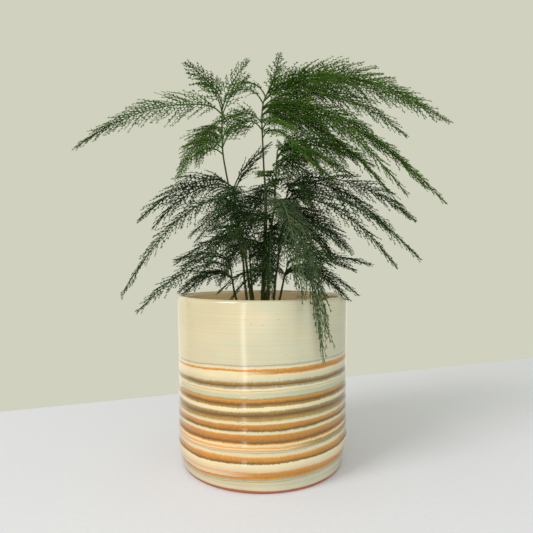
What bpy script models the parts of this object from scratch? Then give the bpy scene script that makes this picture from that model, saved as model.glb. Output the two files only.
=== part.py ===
"""A lace fern in a wheel-thrown glazed pot, at its real size, with its foot's centre at the origin.

The pot is a turned shape, the soil fills it, and ten leafy stems stand in plain holes in the soil.
Each leafy stem is one body: a wiry stem joined to its flat fronds, which are cut like lace.
"""

import math
import random
from collections import namedtuple

import bmesh
import bpy
from mathutils import Matrix, Vector

MM = 0.001
UP = Vector((0, 0, 1))
PART_NAME = "potted_lace_fern"
CLEARANCE = 0.3
MERGE_DISTANCE = 0.00005

# Pot, in millimetres
POT_RADIUS = 75.0
POT_HEIGHT = 145.0
WALL = 6.0
FLOOR_THICKNESS = 9.0
FLOOR_BEVEL = 4.0
LOWER_RADIUS = 72.0
TAPER_HEIGHT = 90.0
FOOT_RADIUS = 69.5
FOOT_BEVEL = 2.5
LIP_STEPS = 4
POT_SIDES = 36
RIDGE_COUNT = 7
RIDGE_PITCH = 10.2
RIDGE_HEIGHT = 1.1
LOWEST_RIDGE = 13.0
RIDGE_SLOPE = 0.034
LEVEL_BELOW = 3.0
SLOPED_ABOVE = 20.0

# Soil, in millimetres
SOIL_TOP = 125.0
SOIL_CROWN = 3.0
SOIL_BUMPS = 0.8
SOIL_RINGS = (0, 0.4, 0.75, 1)
BUMP_WIDTH = 30.0
STEM_DEPTH = 16.0
STEM_HOLE_SIDES = 8
SPROUT = SOIL_TOP + SOIL_CROWN + 2 * SOIL_BUMPS

# Stems, in millimetres
STEM_RADIUS = 1.6
STEM_TIP_RADIUS = 0.9
POINTS_PER_SPAN = 3
SEEDS_PER_STEM = 100

# Fronds, in millimetres and degrees
BRANCH_SPACING = 13.5
SPACING_TAPER = 0.25
FIRST_BRANCHES = {1: 9.0, -1: 14.4}
LAST_BRANCH = 3.0
NEEDLE_SPACING = 10.0
NEEDLE_LENGTH = 5.6
NEEDLE_WIDTH = 1.3
NEEDLE_ANGLE = 40.0
BARE_BRANCH = 6.0
SHORTEST_BRANCH = 3.0
LENGTH_VARIATION = (0.82, 1.12)
BASE_SHARE = 0.5
SWELL_RATE = 2.2
TIP_POWER = 0.8
TIP_TUFT = 9.0
RIB_ROOT = 1.5
RIB_WIDTH = 1.9
RIB_THICKNESS = 1.7
RIB_TAPER = 0.6
BLADE_THICKNESS = 0.7
BRANCH_WIDTH = 1.2
BASE_ANGLE = 64.0
TIP_ANGLE = 34.0
SIDE_SAG = 0.2
WAVE_HEIGHT = 2.2
WAVE_LENGTH = 46.0

# A stem is a route from the soil to its tip, and the fronds that it bears
Stem = namedtuple("Stem", "name tint route fronds")

# A frond leaves its stem at a fraction of the stem's length and heads away in plan, with 0 degrees to
# the right and 90 to the back. It reaches so far in plan, would gain rise at its starting slope,
# loses drop to its weight at the tip, is half_width wide on each side, and rolls its right side down.
Frond = namedtuple("Frond", "at heading reach rise drop half_width roll")

STEMS = (
    Stem("stem_left_tall", "bright",
         ((-9, 3, SPROUT), (-18, 4, 192), (-26, 5, 218), (-35, 5, 267), (-37, 4, 300), (-36, 2, 322)),
         (Frond(0.96, 184, 128, 24, 62, 36, 18),
          Frond(1.00, 243, 54, 22, 12, 20, 12),
          Frond(0.88, 130, 76, 10, 40, 28, 10),
          Frond(0.98, 304, 42, 30, 8, 14, -10),
          Frond(0.80, 205, 36, 6, 14, 15, 14),
          Frond(0.84, 299, 48, 16, 10, 18, -14))),
    Stem("stem_right_tall", "bright",
         ((-1, 6, SPROUT), (2, 6, 200), (2, 4, 250), (-1, 2, 300), (2, 0, 322), (14, -3, 334)),
         (Frond(1.00, 5, 158, 30, 60, 46, -18),
          Frond(0.93, 325, 108, 22, 38, 32, -12),
          Frond(0.90, 42, 120, 8, 48, 34, -8),
          Frond(0.87, 349, 155, 8, 96, 36, -18),
          Frond(0.97, 278, 38, 16, 4, 13, 0),
          Frond(0.84, 206, 58, 10, 36, 22, 14),
          Frond(0.80, 297, 58, 6, 26, 22, 0),
          Frond(0.95, 178, 34, 24, 18, 14, 0))),
    Stem("stem_centre", "olive",
         ((5, 1, SPROUT), (7, 0, 190), (12, -1, 245), (14, -2, 280)),
         (Frond(1.00, 9, 88, 10, 26, 32, -18),
          Frond(0.95, 305, 76, 6, 34, 26, -12),
          Frond(0.92, 62, 82, 10, 34, 26, -6),
          Frond(0.76, 256, 50, 24, 26, 22, 0))),
    Stem("stem_left_middle", "deep",
         ((-13, -4, SPROUT), (-17, -7, 170), (-22, -10, 215), (-27, -12, 245)),
         (Frond(1.00, 184, 78, 14, 48, 34, 20),
          Frond(0.86, 205, 94, 10, 90, 20, -30),
          Frond(0.93, 262, 62, 8, 46, 24, 0),
          Frond(0.98, 345, 34, 40, 8, 15, 0),
          Frond(0.66, 250, 56, 6, 40, 24, -10),
          Frond(0.56, 300, 44, 4, 20, 17, 0))),
    Stem("stem_right_middle", "deep",
         ((9, -1, SPROUT), (14, -3, 175), (20, -5, 220), (24, -6, 247)),
         (Frond(1.00, 3, 112, 24, 59, 34, -20),
          Frond(0.90, 338, 110, 8, 66, 28, 30),
          Frond(0.80, 42, 95, 5, 45, 28, -10),
          Frond(0.95, 284, 58, 6, 30, 23, 0),
          Frond(0.72, 326, 54, 2, 30, 22, 16))),
    Stem("stem_left_low", "deep",
         ((-21, -1, SPROUT), (-27, -3, 158), (-31, -4, 182)),
         (Frond(1.00, 178, 46, 3, 9, 17, -26),
          Frond(0.84, 203, 78, 6, 46, 23, -30),
          Frond(0.70, 140, 70, 5, 26, 22, 10))),
    Stem("stem_right_low", "deep",
         ((12, -7, SPROUT), (18, -10, 155), (24, -12, 180)),
         (Frond(1.00, 355, 68, 6, 14, 21, 30),
          Frond(0.84, 328, 62, 3, 26, 20, 22),
          Frond(0.78, 35, 70, 5, 32, 20, -10))),
    Stem("stem_front", "pale",
         ((3, -10, SPROUT), (5, -15, 165), (8, -20, 205), (10, -24, 222)),
         (Frond(1.00, 298, 72, 35, 150, 22, 0),
          Frond(0.90, 235, 60, 15, 45, 22, -20),
          Frond(0.70, 320, 60, 5, 25, 20, 22),
          Frond(0.45, 255, 46, 6, 20, 18, 0),
          Frond(0.40, 208, 44, 8, 24, 17, 0))),
    Stem("stem_back", "deep",
         ((1, 13, SPROUT), (3, 18, 180), (4, 22, 220), (4, 24, 248)),
         (Frond(1.00, 95, 86, 12, 40, 30, 0),
          Frond(0.90, 152, 90, 8, 42, 28, 12),
          Frond(0.82, 25, 90, 5, 42, 26, -12),
          Frond(0.76, 168, 56, 8, 22, 16, 0),
          Frond(0.68, 352, 60, 6, 34, 20, 0))),
    Stem("stem_back_low", "deep",
         ((-8, 12, SPROUT), (-11, 19, 165), (-13, 24, 200)),
         (Frond(1.00, 165, 76, 5, 32, 24, 12),
          Frond(0.90, 112, 80, 5, 42, 24, 0),
          Frond(0.78, 60, 76, 5, 36, 22, -10))),
)

COLOURS = {
    "glaze": ((0.74, 0.68, 0.49), 0.15),
    "soil": ((0.05, 0.035, 0.025), 0.95),
    "bright": ((0.075, 0.19, 0.035), 0.6),
    "olive": ((0.06, 0.13, 0.04), 0.6),
    "deep": ((0.03, 0.09, 0.035), 0.6),
    "pale": ((0.15, 0.23, 0.12), 0.6),
}


def clear_scene():
    """Remove every object that the scene starts with."""
    for thing in list(bpy.data.objects):
        bpy.data.objects.remove(thing)


def new_collection(name):
    """A collection in the scene."""
    collection = bpy.data.collections.new(name)
    bpy.context.scene.collection.children.link(collection)
    return collection


def material(name, colour_name):
    """A Principled material of a named colour and roughness."""
    colour, roughness = COLOURS[colour_name]
    made = bpy.data.materials.new(name)
    made.use_nodes = True
    shader = made.node_tree.nodes["Principled BSDF"]
    shader.inputs["Base Color"].default_value = (*colour, 1)
    shader.inputs["Roughness"].default_value = roughness
    shader.inputs["Metallic"].default_value = 0
    return made


def add_object(name, mesh, collection):
    """An object in a collection."""
    thing = bpy.data.objects.new(name, mesh)
    collection.objects.link(thing)
    return thing


def apply_modifiers(thing):
    """Replace an object's mesh with the one that its modifiers make."""
    graph = bpy.context.evaluated_depsgraph_get()
    made = bpy.data.meshes.new_from_object(thing.evaluated_get(graph))
    thing.modifiers.clear()
    thing.data = made


def turned(name, profile, sides, collection):
    """Turn a profile of (radius, height) points, in millimetres and from top to bottom, about Z."""
    mesh = bpy.data.meshes.new(name)
    points = [(radius * MM, 0, height * MM) for radius, height in profile]
    edges = [(i, i + 1) for i in range(len(points) - 1)]
    mesh.from_pydata(points, edges, [])
    thing = add_object(name, mesh, collection)
    screw = thing.modifiers.new("turn", "SCREW")
    screw.steps = sides
    screw.render_steps = sides
    screw.use_merge_vertices = True
    screw.merge_threshold = MERGE_DISTANCE
    apply_modifiers(thing)
    thing.data.shade_smooth()
    return thing


def lip_profile():
    """The round lip, from its inner side over the top to the outer wall."""
    half = WALL / 2
    arc = []
    for step in range(LIP_STEPS + 1):
        angle = math.pi * step / LIP_STEPS
        radius = POT_RADIUS - half - half * math.cos(angle)
        arc.append((radius, POT_HEIGHT - half + half * math.sin(angle)))
    return arc


def wall_radius(height):
    """The outer wall's radius, which widens from above the foot to the plain upper wall."""
    return LOWER_RADIUS + (POT_RADIUS - LOWER_RADIUS) * min(1, height / TAPER_HEIGHT)


def ridge_profile():
    """The turned ridges from the top one to the lowest, as crests with grooves between them."""
    points = []
    for ring in reversed(range(RIDGE_COUNT)):
        crest = LOWEST_RIDGE + ring * RIDGE_PITCH
        groove = crest - RIDGE_PITCH / 2
        points.append((wall_radius(crest) + RIDGE_HEIGHT, crest))
        points.append((wall_radius(groove) - RIDGE_HEIGHT / 3, groove))
    return points


def make_pot(collection):
    """The pot: inner floor and wall, round lip, plain upper wall, ridges that run uphill, foot."""
    inner = POT_RADIUS - WALL
    ridge_top = LOWEST_RIDGE + (RIDGE_COUNT - 0.5) * RIDGE_PITCH
    profile = [(0, FLOOR_THICKNESS), (inner - FLOOR_BEVEL, FLOOR_THICKNESS)]
    profile += [(inner, FLOOR_THICKNESS + FLOOR_BEVEL)]
    profile += lip_profile()
    profile += [(wall_radius(ridge_top), ridge_top)]
    profile += ridge_profile()
    profile += [(FOOT_RADIUS + FOOT_BEVEL, FOOT_BEVEL), (FOOT_RADIUS, 0), (0, 0)]
    pot = turned("pot", profile, POT_SIDES, collection)
    for vertex in pot.data.vertices:
        outside = math.hypot(vertex.co.x, vertex.co.y) > (inner + CLEARANCE) * MM
        if outside and LEVEL_BELOW * MM < vertex.co.z < (ridge_top + 1) * MM:
            vertex.co.z += RIDGE_SLOPE * vertex.co.x * min(1, vertex.co.z / (SLOPED_ABOVE * MM))
    pot.data.materials.append(material("glazed_stoneware", "glaze"))
    return pot


def make_soil(collection, cutters):
    """The root ball and its potting mix, with a plain hole for each stem."""
    radius = POT_RADIUS - WALL - CLEARANCE
    bottom = FLOOR_THICKNESS + CLEARANCE
    profile = [(radius * ring, SOIL_TOP + SOIL_CROWN * (1 - ring * ring)) for ring in SOIL_RINGS]
    profile += [(radius, bottom + FLOOR_BEVEL), (radius - FLOOR_BEVEL, bottom), (0, bottom)]
    soil = turned("soil", profile, POT_SIDES, collection)
    for vertex in soil.data.vertices:
        x, y, height = vertex.co / MM
        if height > SOIL_TOP + CLEARANCE:
            bump = math.sin(x * math.tau / BUMP_WIDTH + 1) + math.cos(y * math.tau / BUMP_WIDTH)
            vertex.co.z += SOIL_BUMPS * bump * MM
    for stem in STEMS:
        x, y, hole_top = stem.route[0]
        hole_bottom = SOIL_TOP - STEM_DEPTH - CLEARANCE
        centre = Vector((x, y, (hole_top + hole_bottom) / 2)) * MM
        bpy.ops.mesh.primitive_cylinder_add(
            vertices=STEM_HOLE_SIDES,
            radius=(STEM_RADIUS + 2 * CLEARANCE) * MM,
            depth=(hole_top - hole_bottom) * MM,
            location=centre,
        )
        cutter = bpy.context.object
        cutter.name = "hole_for_" + stem.name
        cutter.hide_render = True
        cutter.display_type = "WIRE"
        for owner in list(cutter.users_collection):
            owner.objects.unlink(cutter)
        cutters.objects.link(cutter)
    cut = soil.modifiers.new("stem_holes", "BOOLEAN")
    cut.operation = "DIFFERENCE"
    cut.operand_type = "COLLECTION"
    cut.collection = cutters
    cut.solver = "EXACT"
    soil.data.materials.append(material("potting_soil", "soil"))
    return soil


def smooth_route(points):
    """A smooth line through a route's points, as a Catmull-Rom curve in metres."""
    ends = [2 * Vector(points[0]) - Vector(points[1])]
    ends += [Vector(point) for point in points]
    ends += [2 * Vector(points[-1]) - Vector(points[-2])]
    line = []
    for i in range(len(points) - 1):
        a, b, c, d = ends[i:i + 4]
        for step in range(POINTS_PER_SPAN):
            t = step / POINTS_PER_SPAN
            line.append(0.5 * (2 * b + (c - a) * t + (2 * a - 5 * b + 4 * c - d) * t * t
                               + (3 * b - a - 3 * c + d) * t ** 3) * MM)
    line.append(ends[-2] * MM)
    return line


def point_along(line, share):
    """The point at a share of a line's length."""
    lengths = [(b - a).length for a, b in zip(line, line[1:])]
    left = share * sum(lengths)
    for i, length in enumerate(lengths):
        if left <= length or i == len(lengths) - 1:
            return line[i].lerp(line[i + 1], min(1, left / length))
        left -= length
    return line[-1]


def make_tube(name, line, collection):
    """A tapering stem along a line, as a closed mesh."""
    curve = bpy.data.curves.new(name, "CURVE")
    curve.dimensions = "3D"
    curve.bevel_depth = STEM_RADIUS * MM
    curve.bevel_resolution = 1
    curve.use_fill_caps = True
    spline = curve.splines.new("POLY")
    spline.points.add(len(line) - 1)
    for i, point in enumerate(line):
        spline.points[i].co = (*point, 1)
        taper = i / (len(line) - 1)
        spline.points[i].radius = 1 + (STEM_TIP_RADIUS / STEM_RADIUS - 1) * taper
    guide = add_object(name + "_route", curve, collection)
    graph = bpy.context.evaluated_depsgraph_get()
    mesh = bpy.data.meshes.new_from_object(guide.evaluated_get(graph))
    bpy.data.objects.remove(guide)
    welded = bmesh.new()
    welded.from_mesh(mesh)
    bmesh.ops.remove_doubles(welded, verts=welded.verts, dist=MERGE_DISTANCE)
    bmesh.ops.recalc_face_normals(welded, faces=welded.faces)
    welded.to_mesh(mesh)
    welded.free()
    return add_object(name, mesh, collection)


def rib_point(frond, start, share):
    """The point at a share of a frond's rib, which heads out, rises and hangs at its tip."""
    heading = math.radians(frond.heading)
    forward = Vector((math.cos(heading), math.sin(heading), 0))
    height = frond.rise * share - frond.drop * share * share
    return start + (forward * frond.reach * share + UP * height) * MM


def rib_frame(frond, share):
    """The directions along, across and out of a frond's blade at a share of its rib."""
    heading = math.radians(frond.heading)
    forward = Vector((math.cos(heading), math.sin(heading), 0))
    along = (forward * frond.reach + UP * (frond.rise - 2 * frond.drop * share)).normalized()
    roll = Matrix.Rotation(math.radians(frond.roll), 3, along)
    across = roll @ UP.cross(forward)
    return along, across, along.cross(across)


def rib_length(frond):
    """The length of a frond's rib in millimetres."""
    points = [rib_point(frond, Vector(), step / 20) for step in range(21)]
    return sum((b - a).length for a, b in zip(points, points[1:])) / MM


def branch_length(frond, share, dice):
    """How long a side branch is at a share of the rib: short at the base, longest near a quarter."""
    swell = min(1, BASE_SHARE + SWELL_RATE * share)
    envelope = frond.half_width * swell * (1 - share) ** TIP_POWER
    return envelope * dice.uniform(*LENGTH_VARIATION) + SHORTEST_BRANCH


def branch_outline(root, angle, length, first_side):
    """The outline of one side branch: out along its near edge, round its tip, back along its far edge."""
    along = Vector((math.cos(angle), math.sin(angle)))
    nearer = Vector((-along.y, along.x))
    needle = math.radians(NEEDLE_ANGLE)
    forward = NEEDLE_LENGTH * math.cos(needle)
    outward = NEEDLE_LENGTH * math.sin(needle)
    count = max(0, int((length - BARE_BRANCH) / NEEDLE_SPACING))
    edges = {-1: [], 1: []}
    for i in range(count):
        place = BARE_BRANCH + i * NEEDLE_SPACING
        side = first_side if i % 2 == 0 else -first_side
        edge = BRANCH_WIDTH / 2 * (1 - RIB_TAPER * place / length)
        edges[side] += [(place - NEEDLE_WIDTH / 2, edge),
                        (place + forward, edge + outward),
                        (place + NEEDLE_WIDTH / 2, edge)]
    near_edge = [root + along * place + nearer * off for place, off in edges[1]]
    far_edge = [root + along * place - nearer * off for place, off in reversed(edges[-1])]
    return near_edge + [root + along * length] + far_edge


def frond_outline(frond, length, dice):
    """A frond's flat outline, as (along, across) points in millimetres, anticlockwise."""
    halves = []
    for side in (1, -1):
        half = []
        place = FIRST_BRANCHES[side]
        number = 0
        while place < length - LAST_BRANCH:
            share = place / length
            angle = math.radians(BASE_ANGLE + (TIP_ANGLE - BASE_ANGLE) * share)
            rib = RIB_WIDTH / 2 * (1 - RIB_TAPER * share)
            reach = min(branch_length(frond, share, dice), length - place + TIP_TUFT)
            base = BRANCH_WIDTH / 2 / math.sin(angle)
            half.append(Vector((place - base, rib)))
            half += branch_outline(Vector((place, rib)), angle, reach, 1 if number % 2 else -1)
            half.append(Vector((place + base, rib)))
            place += BRANCH_SPACING * (1 - SPACING_TAPER * share)
            number += 1
        halves.append(half)
    left, right = halves
    outline = [Vector((-RIB_ROOT, -RIB_WIDTH / 2))]
    outline += [Vector((point.x, -point.y)) for point in right]
    outline.append(Vector((length, 0)))
    outline += reversed(left)
    outline.append(Vector((-RIB_ROOT, RIB_WIDTH / 2)))
    return outline


def flat_frond(name, frond, length, dice, collection):
    """A frond as a flat solid, thicker along its rib than out at its needles."""
    sheet = bmesh.new()
    outline = frond_outline(frond, length, dice)
    corners = [sheet.verts.new((point.x * MM, point.y * MM, 0)) for point in outline]
    sheet.faces.new(corners)
    sheet.normal_update()
    bmesh.ops.triangulate(sheet, faces=sheet.faces, ngon_method="BEAUTY")
    mesh = bpy.data.meshes.new(name)
    sheet.to_mesh(mesh)
    sheet.free()
    thing = add_object(name, mesh, collection)
    group = thing.vertex_groups.new(name="thickness")
    for vertex in mesh.vertices:
        taper = 1 - RIB_TAPER * vertex.co.x / (length * MM)
        group.add([vertex.index], max(0, 1 - abs(vertex.co.y) / (RIB_WIDTH * MM)) * taper, "REPLACE")
    solid = thing.modifiers.new("thickness", "SOLIDIFY")
    solid.thickness = RIB_THICKNESS * MM
    solid.offset = 0
    solid.vertex_group = group.name
    solid.thickness_vertex_group = BLADE_THICKNESS / RIB_THICKNESS
    apply_modifiers(thing)
    thing.vertex_groups.clear()
    return thing


def make_frond(name, frond, start, seed, collection):
    """A frond that is bent along its rib, sags at both sides and waves a little."""
    dice = random.Random(seed)
    length = rib_length(frond)
    thing = flat_frond(name, frond, length, dice, collection)
    wave_start = dice.uniform(0, math.tau)
    for vertex in thing.data.vertices:
        u, v, lift = vertex.co / MM
        share = max(0, u / length)
        along, across, out = rib_frame(frond, share)
        edge = abs(v) / frond.half_width
        wave = WAVE_HEIGHT * math.sin(u / WAVE_LENGTH * math.tau + wave_start) * edge
        sag = SIDE_SAG * frond.half_width * edge * edge
        offset = across * v + out * (lift + wave - sag) + along * min(0, u)
        vertex.co = rib_point(frond, start, share) + offset * MM
    return thing


def make_leafy_stem(stem, number, collection):
    """A stem and its fronds, joined into one body."""
    line = smooth_route(stem.route)
    foot = line[0] - UP * (SPROUT - SOIL_TOP + STEM_DEPTH) * MM
    thing = make_tube(stem.name, [foot] + line, collection)
    fronds = new_collection(stem.name + "_fronds")
    for i, frond in enumerate(stem.fronds):
        start = point_along(line, frond.at)
        make_frond(f"{stem.name}_frond_{i}", frond, start, SEEDS_PER_STEM * number + i, fronds)
    union = thing.modifiers.new("fronds", "BOOLEAN")
    union.operation = "UNION"
    union.operand_type = "COLLECTION"
    union.collection = fronds
    union.solver = "EXACT"
    apply_modifiers(thing)
    for piece in list(fronds.objects):
        bpy.data.objects.remove(piece)
    bpy.data.collections.remove(fronds)
    thing.data.materials.clear()
    thing.data.materials.append(material(stem.name + "_green", stem.tint))
    return thing


def main():
    """Build the potted fern."""
    clear_scene()
    part = new_collection(PART_NAME)
    cutters = new_collection("cutters")
    make_pot(part)
    make_soil(part, cutters)
    for number, stem in enumerate(STEMS):
        make_leafy_stem(stem, number, part)


main()
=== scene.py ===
import math
import random
from collections import namedtuple
from functools import partial

import bpy
import numpy as np
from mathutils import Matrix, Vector


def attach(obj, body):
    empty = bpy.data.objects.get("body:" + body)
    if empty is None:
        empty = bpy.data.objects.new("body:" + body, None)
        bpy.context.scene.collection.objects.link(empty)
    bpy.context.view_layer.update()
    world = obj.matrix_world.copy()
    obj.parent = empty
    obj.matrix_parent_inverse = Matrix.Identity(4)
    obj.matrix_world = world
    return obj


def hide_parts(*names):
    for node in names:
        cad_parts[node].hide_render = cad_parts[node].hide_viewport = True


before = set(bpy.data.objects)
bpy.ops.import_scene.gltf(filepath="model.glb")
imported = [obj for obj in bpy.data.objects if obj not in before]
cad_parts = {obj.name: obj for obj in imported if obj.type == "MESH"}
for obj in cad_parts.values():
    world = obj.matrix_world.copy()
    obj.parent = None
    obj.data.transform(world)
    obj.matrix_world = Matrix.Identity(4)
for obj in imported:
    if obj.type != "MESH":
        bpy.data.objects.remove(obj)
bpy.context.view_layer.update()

bl_info = {
    "name": "Potted lace fern",
    "version": (1, 0),
    "blender": (4, 5, 0),
    "location": "3D View > Sidebar > Lace fern",
    "description": "Dresses the potted lace fern: glazed pot, potting soil and ten leafy stems",
    "category": "Object",
}

MM = 0.001
UP = np.array((0.0, 0.0, 1.0))

# The pot, in millimetres. OUTER_WALL is (height, radius) and RIDGES is (height, half width, rise)
POT_HEIGHT = 145
POT_RADIUS = 75
WALL = 6
INNER_RADIUS = POT_RADIUS - WALL
FLOOR_THICKNESS = 9
TURN_STEPS = 168
OUTER_WALL = ((142, 75.0), (118, 74.9), (97, 74.4), (85, 74.0), (67, 73.5), (30, 73.0),
              (17, 72.7), (11, 71.9), (8, 71.0), (3.5, 70.4), (1.6, 69.9))
RIDGES = ((78.5, 3.2, 0.25), (64.5, 4.2, 0.6), (54.6, 3.4, 0.6), (46.6, 3.2, 0.55),
          (35.0, 5.0, 0.7), (20.4, 5.4, 0.85), (8.4, 2.2, 0.35))
GROOVE_SHARE = 0.35

# The pot's profile: its inner corner, inner wall, half-round lip, outer wall and foot
CORNER = 4
CORNER_MIDDLE = 1.2
INNER_HEIGHTS = (60, 110, 128, 138)
LIP_STEPS = 12
LIP_BOTTOM = 139.5
RIDGED_BELOW = 96
PLAIN_STEP = 3
RIDGED_STEP = 0.8
FOOT_TOP = 2
FOOT_PROFILE = ((69.9, 1.4), (69.3, 0.5), (68.4, 0), (64, 0), (62.5, 1.2), (30, 1.2), (0, 1.2))

# How the thrower's hand shows: ridges that climb to the right between two heights, a wall that
# strays from round, as (size, waves round the pot, millimetres up for one radian), and a low swell
RIDGE_SLOPE = 0.034
LEVEL_BELOW = 3
SLOPED_ABOVE = 20
LEVEL_ABOVE = 100
LEVELLING = 8
STRAYS = ((0.22, 2, 23), (0.12, 5, -9))
SWELL = 0.9
SWELL_HEIGHT = 21
SWELL_WIDTH = 9
TRUE_ABOVE = 138

# Colours of the brushed bands at heights in millimetres, from the top down. One ramp of colours
# holds 32 stops at most, so the bands need two
UPPER_BANDS = (
    (99.0, "cream"), (97.7, "cream"), (97.0, "slate"), (96.2, "cream"), (94.8, "crest"), (94.1, "orange"),
    (91.6, "rust"), (90.2, "orange"), (89.8, "crest"), (85.4, "cream"), (84.2, "olive"), (82.0, "dark"),
    (81.2, "olive"), (80.3, "slate"), (79.4, "crest"), (78.5, "crest"), (78.1, "orange"), (77.5, "crest"),
    (75.6, "celadon"), (73.6, "celadon"), (72.2, "olive"), (71.4, "orange"), (68.8, "dark"), (66.6, "olive"),
    (66.0, "crest"), (63.8, "crest"), (62.6, "olive"), (59.4, "dark"), (57.0, "olive"), (56.0, "olive"),
    (55.5, "celadon"), (53.8, "crest"))
LOWER_BANDS = (
    (53.8, "crest"), (53.0, "orange"), (50.4, "rust"), (48.4, "dark"), (47.7, "celadon"), (46.3, "crest"),
    (45.4, "orange"), (42.0, "rust"), (39.6, "dark"), (38.4, "orange"), (37.7, "crest"), (35.4, "orange"),
    (34.9, "crest"), (33.4, "orange"), (32.9, "crest"), (32.2, "slate"), (31.6, "crest"), (29.6, "crest"),
    (28.2, "orange"), (25.8, "rust"), (24.1, "dark"), (23.3, "crest"), (18.2, "pink"), (17.2, "orange"),
    (13.2, "rust"), (12.1, "orange"), (11.3, "slate"), (10.2, "celadon"), (9.7, "olive"), (9.2, "cream"),
    (3.2, "cream"))

# Where a band changes from side to side, in millimetres: all of the new colour at the first place
# across the pot and none at the second, between two heights. Two thin out and one swells
UNEVEN_BANDS = ((-18, 12, 89.4, 92.8, "crest"), (-28, -4, 13.4, 17.4, "pink"), (42, 22, 32.6, 36.9, "olive"))
UNEVEN_EDGE = 0.4

# The iron's tint runs from rusty at the left to olive at the right, as factors on the bands' colours
TINTED_TO = 45
RUSTY = (1.05, 0.98, 0.88, 1)
GREENISH = (0.92, 0.97, 0.96, 1)

# Noise that is stretched on the pot's wall: the width and height of one wave in millimetres, and its
# detail. Wheel lines are really about half a millimetre apart, too fine to show, so they are drawn at
# about one millimetre
GLAZE_NOISE = {
    "drift": (62.5, 33.3, 2.0),
    "wobble": (12.5, 4.167, 2.0),
    "drips": (1.111, 4.167, 1.0),
    "regions": (50, 11.1, 2.0),
    "lines": (200, 0.909, 3.0),
    "finger_lines": (166.7, 1.613, 3.0),
}

# Patterns that run the same all ways, in millimetres. Iron mottle, grit and paper grain are really
# finer than a render can show, so they are drawn coarser
CLOUD_SIZE = 41.7
MOTTLE_SIZE = 1.111
SPECK_SPACING = 4.348
SPECK_PATCHES = 13.33
SOIL_PATCHES = 6.25
GRIT_SIZE = 1.111
GRIT_HEIGHT = 0.6
NEEDLE_PATCHES = 22.2
PAPER_GRAIN = 3.333

# Where the glaze gives way to bare clay, and where the inner glaze starts, in millimetres
CLAY_BELOW = 2.4
GLAZED_ABOVE = 2.9
INNER_UP_TO = 69.3
OUTER_FROM = 70.6
LINED_ABOVE = 12

# The soil, in millimetres, and the height at which each stem's route starts
SPROUT = 129.6
SOIL_TOP = 125
SOIL_CROWN = 3
SOIL_BUMPS = 0.8
BUMP_WIDTH = 30
FINE_BUMPS = 0.5
SOIL_RINGS = 24
SOIL_STEPS = 96
SOIL_CORNER = 4
SOIL_CORNER_TOP = 14
CLEARANCE = 0.3
STEM_DEPTH = 16
CRUMBS = 900
CRUMB_SPREAD = 0.97
CRUMB_SIZES = (0.4, 1.5)
CRUMB_STRETCH = (0.6, 1.6)
CRUMB_FLATNESS = 0.8
CRUMB_ROUGHNESS = 0.35

# A frond's rib and its flat outline, in millimetres and degrees: the solids' own values, but with
# side branches that lean 6 degrees closer to the rib
BASE_ANGLE = 58
TIP_ANGLE = 28
BASE_SHARE = 0.5
SWELL_RATE = 2.2
TIP_POWER = 0.8
SHORTEST_BRANCH = 3
TIP_TUFT = 9
SIDE_SAG = 0.2
WAVE_HEIGHT = 2.2
WAVE_LENGTH = 46

# How a rib curves out of its cane, in millimetres
BEND_DROP = 6
BEND_LENGTH = 16

# Canes, ribs and side branches, in millimetres and degrees, from their thick end to their thin one
CANE_RADII = (1.25, 0.55)
CANE_POINTS = 40
CANE_KNOTS = 9
CANE_WOBBLE = 0.6
RIB_RADII = (0.75, 0.16)
RIB_POINTS = 24
BRANCH_RADII = (0.3, 0.13)
FIRST_BRANCH = 6.0
LAST_BRANCH = 1.5
BRANCH_PIECE = 5
BRANCH_CURL = 18
ANGLE_SPREAD = 7
LENGTH_SPREAD = (0.72, 1.12)
CROWDING = 0.25

# Sprigs on a side branch, in millimetres, degrees and shares. A kind is how many needles it has, and
# its twig's length as a share of a needle's
SPRIG_KINDS = ((4, 0.6), (4, 0.8), (5, 1.1), (4, 0.5))
FIRST_SPRIG = (1.0, 2.2)
SPRIG_LEAN = (34, 58)
SPRIG_TURN = 0.5
SPRIG_SIZE = (0.95, 0.55)
SIZE_SPREAD = (0.75, 1.15)
SPACING_SPREAD = (0.75, 1.25)
OLD_BRANCHES = 0.16
NEEDLE_LEAN = (20, 46)
NEEDLE_LIFT = (-28, 34)
NEEDLE_SPREAD = (0.75, 1.1)

# Each corner keeps three values: how light it is, which is a random tone darkened by painted shade in the
# middle of the clump, how withered and how woody
CANE_GROWTH = (0.5, 0.0, 0.9)
BRANCH_GROWTH = (0.5, 0.0, 0.45)

# Painted shade: the dense middle of the plant, in millimetres, whose needles are painted darker to stand in
# for the shade inside the clump, and how much darker they are
CLUMP_MIDDLE = (10, 0)
CLUMP_RADIUS = 85
CLUMP_TOP = 262
CLUMP_FADE = 30
INNER_SHADE = 0.75

# A frond is drawn in layers: one on its rib, one below it and one above it. A layer shifts its place
# on the cane, heading, roll and rise, scales its size and drop, and has its own taper to the tip
Layer = namedtuple("Layer", "at turn roll rise size drop taper", defaults=(1.0, TIP_POWER))
LAYERS = (Layer(0, 0, 0, 0, 1.0), Layer(-0.03, 9, 9, -3, 0.84), Layer(0.0, -10, -9, 5, 0.8))

# A frond wider than this in a stem that isn't deep green has all three layers, and others have two
WIDE_FROND = 23

# Fronds that let much light through have one layer: a stem's name and the frond's place in its row
OPEN_FRONDS = (("stem_left_tall", 0), ("stem_left_middle", 1), ("stem_left_low", 1), ("stem_front", 0))

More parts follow.
